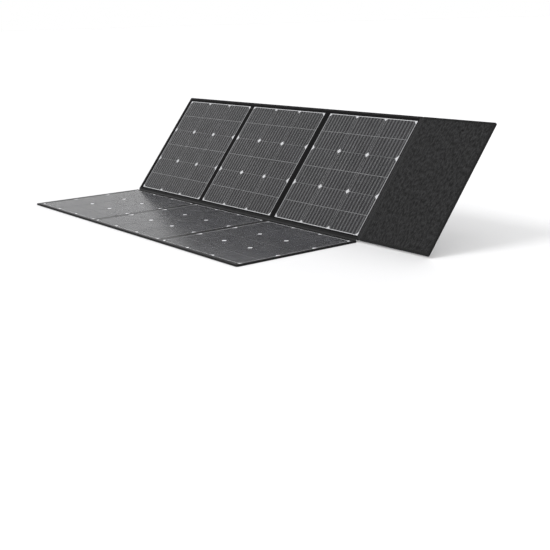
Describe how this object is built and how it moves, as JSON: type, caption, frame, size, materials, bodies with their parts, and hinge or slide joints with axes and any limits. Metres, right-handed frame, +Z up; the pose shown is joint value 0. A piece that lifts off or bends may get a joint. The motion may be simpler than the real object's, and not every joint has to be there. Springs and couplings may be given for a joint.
{
  "type": "folding solar panel",
  "caption": "Folding fabric-covered solar panel in two rows, one flat and one leaning back on folding legs, with a cover flap, rear pocket and carrying handle.",
  "frame": {"origin": "centre of the whole object's base on the ground, in the working pose", "axes": "+X along the rows towards the cover flap, +Y from the flat row towards the legs, +Z up"},
  "size_m": [2.19, 1.1134, 0.4801],
  "materials": {
    "cover_fabric": "coarse charcoal woven polyester, matt",
    "bezel_fabric": "smooth black coated fabric, matt",
    "board": "fibre-reinforced stiffener board, matt",
    "laminate": "light grey backing sheet, satin",
    "cells": "dark monocrystalline silicon with an anti-reflection coat",
    "ribbons": "thin tinned contact ribbon, satin",
    "film": "clear textured front film, satin",
    "wiring": "flat copper tape",
    "webbing": "black woven webbing",
    "trim": "orange woven band",
    "pocket_fabric": "moulded foam pocket faced with charcoal fabric",
    "zip_tape": "grey zip tape",
    "zip_metal": "zip slider, satin",
    "controller": "moulded junction box, matt",
    "socket": "moulded socket, matt",
    "grip_rubber": "moulded grip, matt",
    "cap_metal": "end caps, satin"
  },
  "bodies": {
    "upper_row": {"upper_back_cover": "cover_fabric", "upper_bezel": "bezel_fabric", "upper_board_1": "board", "upper_board_2": "board", "upper_board_3": "board", "upper_laminate_1": "laminate", "upper_laminate_2": "laminate", "upper_laminate_3": "laminate", "upper_cells_1": "cells", "upper_cells_2": "cells", "upper_cells_3": "cells", "upper_ribbons": "ribbons", "upper_films": "film", "upper_column_strips": "bezel_fabric", "bus_wiring": "wiring", "stay_patches": "webbing", "row_hinge_strip": "bezel_fabric", "flap_hinge_strip": "bezel_fabric", "leg_hinge_strip_1": "cover_fabric", "leg_hinge_strip_2": "cover_fabric", "leg_hinge_strip_3": "cover_fabric", "stay_1": "webbing", "stay_2": "webbing", "stay_3": "webbing", "pocket_body": "pocket_fabric", "pocket_zip": "zip_tape", "charge_controller": "controller", "output_socket": "socket"},
    "lower_row": {"lower_back_cover": "cover_fabric", "lower_bezel": "bezel_fabric", "lower_board_1": "board", "lower_board_2": "board", "lower_board_3": "board", "lower_laminate_1": "laminate", "lower_laminate_2": "laminate", "lower_laminate_3": "laminate", "lower_cells_1": "cells", "lower_cells_2": "cells", "lower_cells_3": "cells", "lower_ribbons": "ribbons", "lower_films": "film", "lower_column_strips": "bezel_fabric"},
    "flap": {"flap_cover": "cover_fabric", "flap_board": "board", "flap_lining": "cover_fabric", "flap_trim": "trim", "handle_tails": "webbing", "handle_caps": "cap_metal"},
    "lid": {"pocket_lid": "pocket_fabric"},
    "slider": {"zip_slider": "zip_metal"},
    "grip": {"handle_grip": "grip_rubber"},
    "leg_1": {"leg_sleeve_1": "cover_fabric", "leg_core_1": "board"},
    "leg_2": {"leg_sleeve_2": "cover_fabric", "leg_core_2": "board"},
    "leg_3": {"leg_sleeve_3": "cover_fabric", "leg_core_3": "board"}
  },
  "joints": [
    {"name": "row_fold", "type": "hinge", "parent": "upper_row", "child": "lower_row", "pos_m": [-0.195, 0.04327, 0.00775], "axis": [-1, 0, 0], "range_deg": [-52, 128], "deforming": ["row_hinge_strip"]},
    {"name": "flap_fold", "type": "hinge", "parent": "upper_row", "child": "flap", "pos_m": [0.705, 0.22462, 0.24677], "axis": [0, -0.6157, -0.788], "range_deg": [0, 179.8], "deforming": ["flap_hinge_strip"]},
    {"name": "leg_1_fold", "type": "hinge", "parent": "upper_row", "child": "leg_1", "pos_m": [-0.795, 0.38676, 0.43481], "axis": [-1, 0, 0], "range_deg": [0, 58], "deforming": ["leg_hinge_strip_1", "stay_1"]},
    {"name": "leg_2_fold", "type": "hinge", "parent": "upper_row", "child": "leg_2", "pos_m": [-0.195, 0.38676, 0.43481], "axis": [-1, 0, 0], "range_deg": [0, 58], "deforming": ["leg_hinge_strip_2", "stay_2"]},
    {"name": "leg_3_fold", "type": "hinge", "parent": "upper_row", "child": "leg_3", "pos_m": [0.525, 0.38676, 0.43481], "axis": [-1, 0, 0], "range_deg": [0, 58], "deforming": ["leg_hinge_strip_3", "stay_3"]},
    {"name": "pocket_lid_open", "type": "hinge", "parent": "upper_row", "child": "lid", "pos_m": [0.23, 0.25392, 0.23213], "axis": [0, 0.6157, 0.788], "range_deg": [0, 165]},
    {"name": "zip_travel", "type": "slide", "parent": "upper_row", "child": "slider", "axis": [0, 0.6157, 0.788], "range_m": [0, 0.24]},
    {"name": "handle_lift", "type": "slide", "parent": "flap", "child": "grip", "axis": [0, 0.788, -0.6157], "range_m": [0, 0.012], "stiffness_N_per_m": 400, "deforming": ["handle_tails"]}
  ]
}
